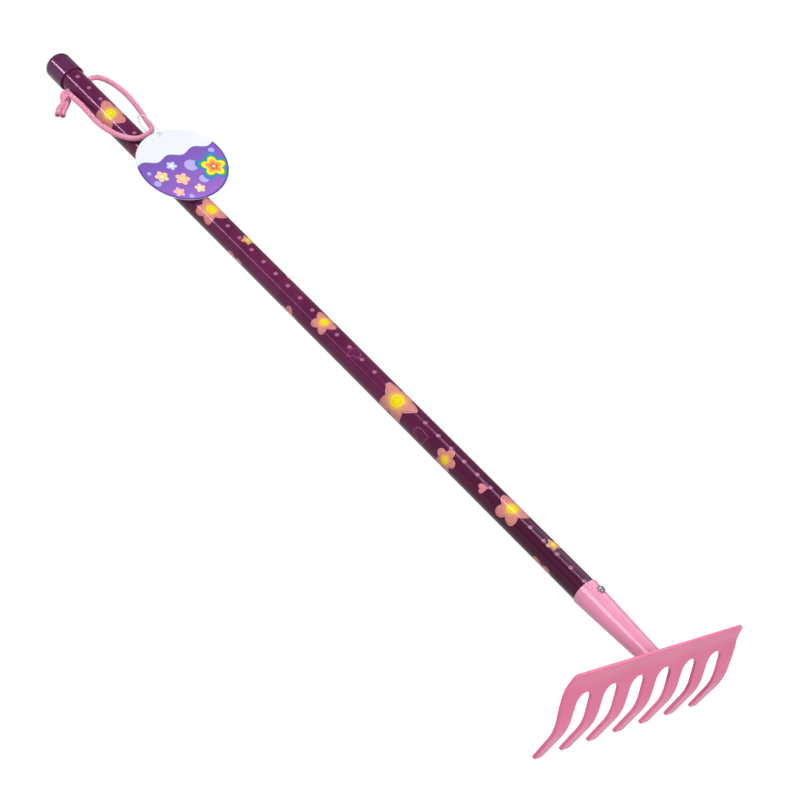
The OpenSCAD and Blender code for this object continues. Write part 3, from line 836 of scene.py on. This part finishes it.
# a pan head screw with a cross recess
screw = {
    "at": (71.2, 0, 11.6416),
    "headRadius": 3.2,
    "headHeight": 2.3,
    "headCrown": 0.12,
    "edge": 1.6,
    "edgeSteps": 8,
    "underEdge": 0.15,
    "shankRadius": 1.7,
    "shank": 10.5,
    "point": 2.5,
    "recess": (3.8, 0.95, 1.2),     # length, width and depth of each slot of the cross
    "recessTurn": 24,
    "recessFloor": 0.62,    # the recess narrows to this share at its floor
    "rounding": 0.08,
    "steps": 64,
}
screwFrame = handleFrame @ Matrix.Translation(Vector(screw["at"]) * mm)
top = screw["headHeight"] + screw["headCrown"]
profile = [(0, -screw["shank"] - screw["point"]), (screw["shankRadius"], -screw["shank"]),
           (screw["shankRadius"], 0), (screw["headRadius"] - screw["underEdge"], 0),
           (screw["headRadius"], screw["underEdge"]),
           *arcPoints((screw["headRadius"] - screw["edge"], screw["headHeight"] - screw["edge"]),
                      screw["edge"], 0, 90, screw["edgeSteps"]), (0, top)]
bm = spun([(r, 0, z) for r, z in profile], screw["steps"], screwFrame, (0, 0, 1), closed=False)
screwPiece = addPiece("panHeadScrew", bm, "rake", [zincSteel])
long, wide, deep = screw["recess"]
for turn in (0, 90):
    bm = bmesh.new()
    bmesh.ops.create_cube(bm, size=1.0)
    for v in bm.verts:
        narrow = screw["recessFloor"] if v.co.z < 0 else 1.0
        v.co = Vector((v.co.x * long * narrow, v.co.y * wide * narrow,
                       v.co.z * 2 * deep + top)) * mm
    spin = Matrix.Rotation(math.radians(turn + screw["recessTurn"]), 4, "Z")
    bmesh.ops.transform(bm, matrix=screwFrame @ spin, verts=bm.verts)
    cutWith(screwPiece, addPiece("recess", bm, "rake", [zincSteel], smooth=False))
creased(screwPiece)
roundEdges(screwPiece, screw["rounding"], 2, 40)
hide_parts("socket_screw")

# the film is a thin tube with the cord's hole punched through it
skin = {
    "from": 81.5,
    "to": 816.1,
    "thickness": 0.3,
    "spans": 24,
    "steps": 160,
    "holeAt": 783.0,
    "holeTurn": 30.0,
    "holeRadius": 3.0,
    "holeSides": 48,
    "punchLength": 40,
}
spans = [skin["from"] + (skin["to"] - skin["from"]) * i / skin["spans"]
         for i in range(skin["spans"] + 1)]
bm = spun([(a, handle["radius"], 0) for a in spans]
          + [(a, handle["radius"] - skin["thickness"], 0) for a in (skin["to"], skin["from"])],
          skin["steps"])
filmPiece = addPiece("printedFilm", bm, "rake", [printedFilm])
bm = bmesh.new()
bmesh.ops.create_cone(bm, segments=skin["holeSides"], radius1=skin["holeRadius"] * mm,
                      radius2=skin["holeRadius"] * mm, depth=skin["punchLength"] * mm,
                      cap_ends=True)
punch = (handleFrame @ Matrix.Translation((skin["holeAt"] * mm, 0, 0))
         @ Matrix.Rotation(math.radians(90 - skin["holeTurn"]), 4, "X"))
bmesh.ops.transform(bm, matrix=punch, verts=bm.verts)
cutWith(filmPiece, addPiece("punch", bm, "rake", [printedFilm], smooth=False))
creased(filmPiece)
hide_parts("printed_film")

cap = {
    "rim": 793.5,
    "end": 820.7,
    "radius": 12.8,
    "wall": 1.7,
    "floor": 817.7,
    "rounding": 6.0,
    "roundingSteps": 16,
    "rimRounding": 0.5,
    "rimSteps": 5,
    "sideSpans": 8,
    "ringGap": 0.4,         # rings this close to both roundings keep the light even on the side
    # depth and radius of the dish that the moulding gate leaves in the middle of the end
    "gate": [(0, 2.05), (0.08, 1.8), (0.35, 1.6), (0.35, 0)],
    "steps": 128,
}
bore = cap["radius"] - cap["wall"]
edge = cap["rimRounding"]
first = cap["rim"] + edge + cap["ringGap"]
final = cap["end"] - cap["rounding"] - cap["ringGap"]
profile = [(cap["floor"], 0), (cap["floor"], bore),
           *arcPoints((cap["rim"] + edge, bore + edge), edge, 270, 180, cap["rimSteps"]),
           *arcPoints((cap["rim"] + edge, cap["radius"] - edge), edge, 180, 90, cap["rimSteps"]),
           *[(first + (final - first) * i / cap["sideSpans"], cap["radius"])
             for i in range(cap["sideSpans"] + 1)],
           *arcPoints((cap["end"] - cap["rounding"], cap["radius"] - cap["rounding"]),
                      cap["rounding"], 90, 0, cap["roundingSteps"]),
           *[(cap["end"] - deep, r) for deep, r in cap["gate"]]]
bm = spun([(a, r, 0) for a, r in profile], cap["steps"], closed=False)
capPiece = addPiece("endCap", bm, "rake", [capPlastic])
creased(capPiece)
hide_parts("end_cap")
print("rigid pieces: plate, socket, weld, screw, film, cap")

# laminated card: bright print under a thin clear skin, white at its cut edge
tagPrint = {
    "white": "#dcdfe6",
    "purple": "#6f49ae",
    "purpleLow": "#8d5abb",
    "fade": (8.0, -38.0),   # from the one purple to the other
    "rim": "#4c3392",
    "rimWidth": 1.7,
    "rimBlur": 0.1,
    "split": (11.85, 12.15),    # purple on the one side, white on the other
    "waveHeight": 2.2,
    "waveLength": 26.0,
    # colour rings of the large flower, from outside to inside
    "rings": [(17.0, "#1670c4"), (13.6, "#1d9a55"), (11.2, "#f2de1c"), (7.6, "#f2902a"),
              (4.2, "#d9412f")],
    "ringsAt": (-13.0, -25.0),
    "ringsTurn": 0.3,
    "ringsEye": "#fff6d0",
    # middle, size, petal, eye
    "flowers": [((-6, 25), 6.5, "#f3b34a", "#fff0b0"), ((-15, 9), 7.0, "#f08a5c", "#f7e37a"),
                ((-27, 20), 5.5, "#e86f9e", "#f7e37a"), ((2, 10), 5.0, "#8fb4ee", "#ffffff"),
                ((-30, 0), 5.0, "#f3c25a", "#ffffff")],
    "flowerTurn": 0.7,      # from each flower to the next
    "flowerEdge": "#ffffff",
    "bubble": "#b9b2ea",
    "bubbleBlur": 0.4,
    "bubbleInk": 0.75,
    "bubbles": [((-4, -7), 6.5), ((-22, -9), 4.5), ((-12, 33), 3.5), ((4, -33), 3.0),
                ((-35, 12), 2.5), ((1, 34), 2.2)],
}
card, tree = newMaterial("laminatedCard")
place = localPlace(tree, tagFrame.translation, tagFrame.to_euler())
parts = addNode(tree, "SeparateXYZ", [place]).outputs
flat = addNode(tree, "CombineXYZ", [parts[0], parts[1]])
downward = addNode(tree, "MapRange", [parts[0], *tagPrint["fade"]])
colour = addNode(tree, "ValToRGB", [downward],
                 [(0.0, tagPrint["purple"]), (1.0, tagPrint["purpleLow"])])
for (x, y), size in tagPrint["bubbles"]:
    far = addNode(tree, "VectorMath DISTANCE", [flat, (x, y, 0)])
    isBubble = addNode(tree, "MapRange", [far, size, size - tagPrint["bubbleBlur"], 0,
                                          tagPrint["bubbleInk"]])
    colour = addNode(tree, "Mix RGBA", {0: isBubble, 6: colour, 7: tagPrint["bubble"]})
for size, ink in tagPrint["rings"]:
    colour = printMotif(tree, flower, colour, flat, tagPrint["ringsAt"], tagPrint["ringsTurn"],
                        size, {"Point": 0.0, "Petal": ink, "Edge": ink,
                               "Eye": tagPrint["ringsEye"]})
for number, (middle, size, ink, eye) in enumerate(tagPrint["flowers"]):
    colour = printMotif(tree, flower, colour, flat, middle, tagPrint["flowerTurn"] * number, size,
                        {"Point": 0.0, "Petal": ink, "Edge": tagPrint["flowerEdge"], "Eye": eye})
wave = addNode(tree, "Math MULTIPLY", [parts[1], math.tau / tagPrint["waveLength"]])
height = addNode(tree, "Math SINE", [wave])
split = addNode(tree, "Math MULTIPLY_ADD", [height, -tagPrint["waveHeight"], parts[0]])
isWhite = addNode(tree, "MapRange", [split, *tagPrint["split"]])
colour = addNode(tree, "Mix RGBA", {0: isWhite, 6: colour, 7: tagPrint["white"]})
far = addNode(tree, "VectorMath LENGTH", [flat])
rimAt = tag["radius"] - tagPrint["rimWidth"]
isRim = addNode(tree, "MapRange", [far, rimAt - tagPrint["rimBlur"], rimAt + tagPrint["rimBlur"]])
notWhite = addNode(tree, "Math SUBTRACT", [1.0, isWhite])
darkRim = addNode(tree, "Math MULTIPLY", [isRim, notWhite])
colour = addNode(tree, "Mix RGBA", {0: darkRim, 6: colour, 7: tagPrint["rim"]})
shader = noisyShader(tree, {"Vector": place, "Scale": 0.8, "Detail": 2.0},
                     {"Base Color": colour, "Roughness": 0.4, "Coat Weight": 0.35,
                      "Coat Roughness": 0.15}, relief=(0.08, 0.0002))
addNode(tree, "OutputMaterial", [shader])

# the cut edge of the laminate shows the white card between its two clear skins
cutEdge = noisyMaterial("cutCardEdge", {"Scale": 2500.0, "Detail": 3.0}, {"Roughness": 0.6},
                        stops=[(0.3, "#dcd8ec"), (0.7, "#f4f2fb")])

# the disc is bridged from the rim of its hole to its own edge, then curled and given its wall
bm = bmesh.new()
bmesh.ops.create_circle(bm, segments=tag["raysAround"], radius=tag["radius"] * mm)
bmesh.ops.create_circle(bm, segments=tag["raysAround"], radius=tag["holeRadius"] * mm,
                        matrix=Matrix.Translation((tag["holeAt"] * mm, 0, 0)))
bridge = bmesh.ops.bridge_loops(bm, edges=bm.edges[:])
bmesh.ops.subdivide_edges(bm, edges=bridge["edges"], cuts=tag["rings"], use_grid_fill=True)
for v in bm.verts:
    v.co.z += tag["curl"] * mm * (v.co.y / (tag["radius"] * mm)) ** 2
bmesh.ops.recalc_face_normals(bm, faces=bm.faces)
if sum(f.normal.z for f in bm.faces) < 0:
    bmesh.ops.reverse_faces(bm, faces=bm.faces)
bmesh.ops.translate(bm, verts=bm.verts, vec=(0, 0, tag["thickness"] / 2 * mm))
bmesh.ops.solidify(bm, geom=bm.faces[:], thickness=tag["thickness"] * mm)
for f in bm.faces:
    f.material_index = 1 if abs(f.normal.z) < 0.5 else 0
bmesh.ops.transform(bm, matrix=tagFrame, verts=bm.verts)
tagPiece = addPiece("roundTag", bm, "tag", [card, cutEdge])
creased(tagPiece)
roundEdges(tagPiece, tag["edgeRounding"], 2, 50)
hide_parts("hang_tag")
print("tag: made")

studio = {
    "floorSize": 14.0,
    "floor": ("#a0a0a2", "#a2a2a4"),
    "glow": 0.65,           # how much of the floor's white doesn't depend on the lamps
    "glowLevel": 1.45,
    "world": 0.32,
    # place, aim, width, length along the handle, watts
    "lamps": {
        "overhead": ((-0.3, 0.4, 2.6), (0, 0, 0), 2.0, 2.0, 5.5),
        "shaft": ((0.43, 0.1, 1.25), (0.2, 0, 0.03), 0.4, 0.36, 4.6),
        "socket": ((0.34, 1.7, 1.2), (-0.36, 0, 0.07), 1.0, 0.24, 12.0),
        "back": ((0.02, -0.5, 0.7), (-0.38, 0, 0.06), 0.7, 0.3, 1.5),
        "grip": ((1.76, 1.75, 0.68), (0.3, 0, 0.05), 0.26, 0.4, 16.0),
        "side": ((1.33, 1.75, 0.78), (0.1, 0, 0.05), 0.3, 0.4, 2.0),
        "front": ((-2.4, 0.6, 1.3), (-0.3, 0, 0), 1.2, 1.2, 31.0),
    },
}

# a matt paper floor that keeps the shadow: pale grey to the lamps, and white to the eye
floorMaterial, tree = newMaterial("matPaperFloor")
shader = noisyShader(tree, {"Scale": 3.0, "Detail": 2.0},
                     {"Roughness": 0.9, "Specular IOR Level": 0.1},
                     stops=zip((0.3, 0.7), studio["floor"]))
sees = addNode(tree, "LightPath").outputs
seen = addNode(tree, "Math MAXIMUM", [sees["Is Camera Ray"], sees["Is Glossy Ray"]])
seen = addNode(tree, "Math MAXIMUM", [seen, sees["Is Transmission Ray"]])
part = addNode(tree, "Math MULTIPLY", [seen, studio["glow"]])
white = addNode(tree, "Emission", {"Color": "#ffffff", "Strength": studio["glowLevel"]})
mixed = addNode(tree, "MixShader", [part, shader, white])
addNode(tree, "OutputMaterial", [mixed])
bm = bmesh.new()
bmesh.ops.create_grid(bm, x_segments=2, y_segments=2, size=studio["floorSize"] / 2)
floor = addMesh("studioFloor", bm, [floorMaterial])

world = bpy.data.worlds.new("studio")
world.use_nodes = True
scene.world = world
world.node_tree.nodes.clear()
sky = addNode(world.node_tree, "Background", {"Color": "#ffffff", "Strength": studio["world"]})
addNode(world.node_tree, "OutputWorld", [sky])

for name, (place, aim, wide, long, watts) in studio["lamps"].items():
    lamp = bpy.data.lights.new(name + "Lamp", "AREA")
    lamp.shape = "RECTANGLE"
    lamp.size, lamp.size_y = wide, long
    lamp.energy = watts
    piece = addObject(name + "Lamp", lamp)
    piece.location = place
    z = (Vector(place) - Vector(aim)).normalized()
    y = handleFrame.to_3x3() @ Vector((1, 0, 0))  # its long side lies along the handle
    y = (y - z * y.dot(z)).normalized()
    piece.rotation_euler = Matrix((y.cross(z), y, z)).transposed().to_euler()
    piece.visible_camera = False
scene.view_settings.view_transform = "Standard"
print("studio: set")
